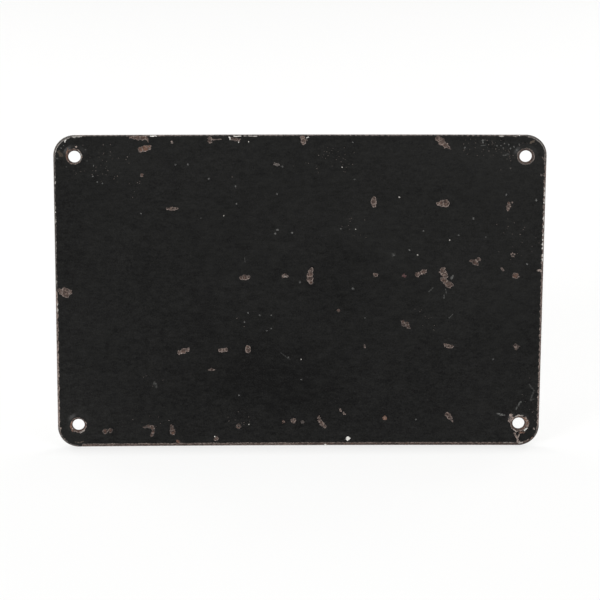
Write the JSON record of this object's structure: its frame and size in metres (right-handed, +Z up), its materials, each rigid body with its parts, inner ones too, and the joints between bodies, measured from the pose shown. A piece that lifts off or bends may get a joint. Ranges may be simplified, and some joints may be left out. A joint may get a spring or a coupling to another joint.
{
  "type": "enamel sign",
  "caption": "Flat rectangular enamelled steel sign with round corners and raised screw collars, black worn reverse and plain white front, screwed to a wall or post.",
  "frame": {"origin": "centre of the screw-hole pattern, in the plane where the collars seat on the wall", "axes": "+Z up as the sign hangs, +X along its length, +Y out of the white front, away from the wall"},
  "size_m": [0.3, 0.0048, 0.2001],
  "materials": {
    "enamel": "gloss vitreous enamel on steel, chipped and rust-stained"
  },
  "bodies": {
    "root": {"sign_plate": "enamel"}
  },
  "joints": []
}
